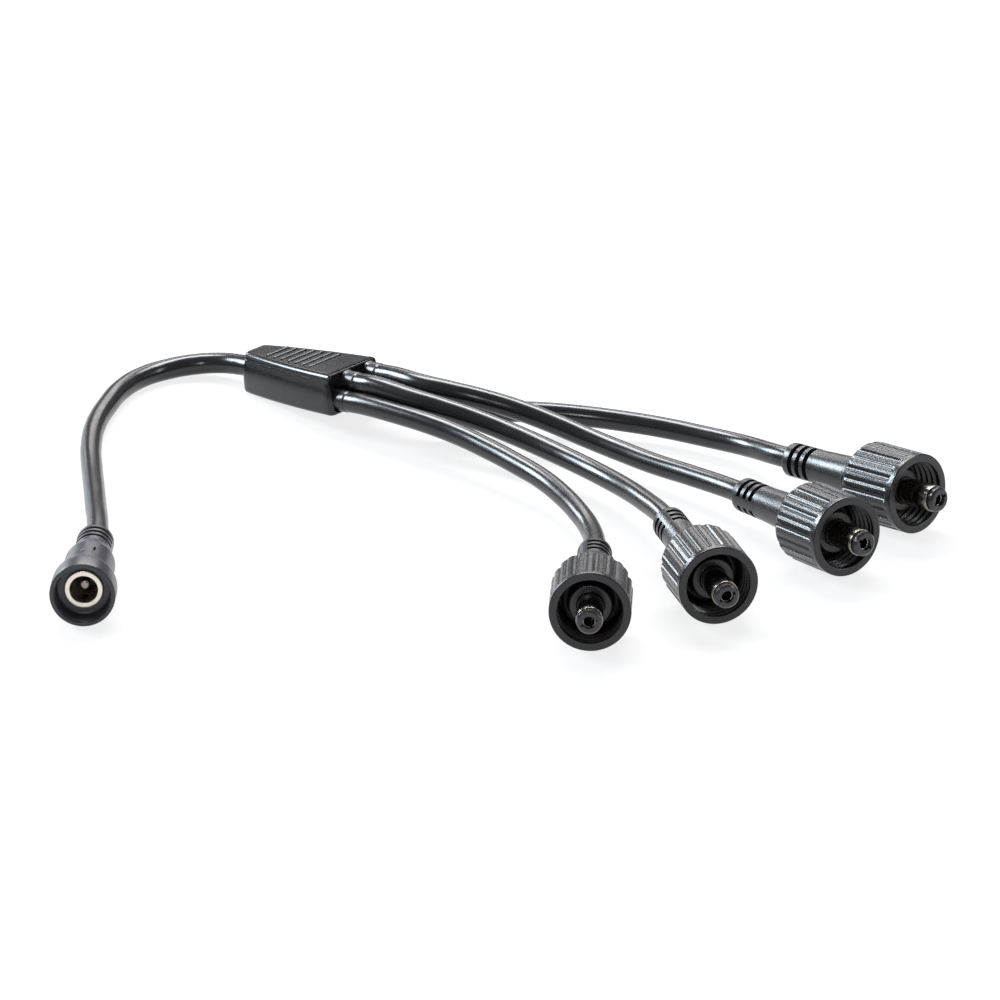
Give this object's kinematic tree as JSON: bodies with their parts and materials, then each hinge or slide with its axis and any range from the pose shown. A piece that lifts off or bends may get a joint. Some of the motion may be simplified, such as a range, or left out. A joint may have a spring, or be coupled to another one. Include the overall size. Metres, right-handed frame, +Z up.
{
  "type": "low voltage splitter lead",
  "caption": "Low voltage splitter lead: a round barrel socket feeds short branch leads that end in barrel plugs with screw-on waterproof coupling nuts.",
  "frame": {"origin": "on the surface that the lead lies on, below the middle of its outline without the free leads", "axes": "+Z up from that surface; +X from the splitter block towards the plugs; +Y towards plug 4, away from the socket"},
  "size_m": [0.1846, 0.1611, 0.0177],
  "materials": {
    "nut_plastic": "satin charcoal moulding with a fine eroded grain",
    "plug_plastic": "satin charcoal overmould",
    "socket_plastic": "satin charcoal overmould, slightly purple",
    "block_plastic": "satin charcoal overmould with raised ridges",
    "block_inner_plastic": "dark inner moulding",
    "lead_jacket": "glossy black flexible PVC",
    "nickel_plate": "bright nickel plate on turned brass",
    "shell_plate": "bright nickel plate, warm",
    "contact_plate": "nickel plate",
    "tip_plastic": "black insulating plastic",
    "seal_rubber": "black moulded ring",
    "premould_plastic": "black inner moulding",
    "core_insulation": "red and black core insulation",
    "core_insulation_black": "black core insulation",
    "spring_bronze": "bronze strip",
    "splice_brass": "tinned crimp sleeve"
  },
  "bodies": {
    "harness": {"plug_body_1": "plug_plastic", "plug_body_2": "plug_plastic", "plug_body_3": "plug_plastic", "plug_body_4": "plug_plastic", "barrel_sleeve_1": "nickel_plate", "barrel_sleeve_2": "nickel_plate", "barrel_sleeve_3": "nickel_plate", "barrel_sleeve_4": "nickel_plate", "tip_insulator_1": "tip_plastic", "tip_insulator_2": "tip_plastic", "tip_insulator_3": "tip_plastic", "tip_insulator_4": "tip_plastic", "centre_contact_1": "contact_plate", "centre_contact_2": "contact_plate", "centre_contact_3": "contact_plate", "centre_contact_4": "contact_plate", "seal_ring_1": "seal_rubber", "seal_ring_2": "seal_rubber", "seal_ring_3": "seal_rubber", "seal_ring_4": "seal_rubber", "plug_premould_1": "premould_plastic", "plug_premould_2": "premould_plastic", "plug_premould_3": "premould_plastic", "plug_premould_4": "premould_plastic", "plug_cores_1": "core_insulation", "plug_cores_2": "core_insulation", "plug_cores_3": "core_insulation", "plug_cores_4": "core_insulation", "branch_lead_1": "lead_jacket", "branch_lead_2": "lead_jacket", "branch_lead_3": "lead_jacket", "branch_lead_4": "lead_jacket", "socket_body": "socket_plastic", "socket_shell": "shell_plate", "socket_premould": "premould_plastic", "socket_pin": "contact_plate", "socket_spring": "spring_bronze", "socket_cores": "core_insulation", "main_lead": "lead_jacket", "block_cover": "block_plastic", "block_premould": "block_inner_plastic", "splice_positive": "splice_brass", "splice_negative": "splice_brass", "cores_positive": "core_insulation", "cores_negative": "core_insulation_black"},
    "nut_1": {"coupling_nut_1": "nut_plastic"},
    "nut_2": {"coupling_nut_2": "nut_plastic"},
    "nut_3": {"coupling_nut_3": "nut_plastic"},
    "nut_4": {"coupling_nut_4": "nut_plastic"}
  },
  "joints": [
    {"name": "nut_spin_1", "type": "hinge", "parent": "harness", "child": "nut_1", "pos_m": [0.0592, -0.013, 0.0087], "axis": [0.6479, -0.7586, 0.0698], "continuous": true},
    {"name": "nut_spin_2", "type": "hinge", "parent": "harness", "child": "nut_2", "pos_m": [0.067, 0.0135, 0.00846], "axis": [0.8478, -0.5297, 0.0262], "continuous": true},
    {"name": "nut_spin_3", "type": "hinge", "parent": "harness", "child": "nut_3", "pos_m": [0.0699, 0.046, 0.0088], "axis": [0.9707, -0.2241, 0.0872], "continuous": true},
    {"name": "nut_spin_4", "type": "hinge", "parent": "harness", "child": "nut_4", "pos_m": [0.0657, 0.0713, 0.00878], "axis": [0.9951, -0.0522, 0.0837], "continuous": true}
  ]
}
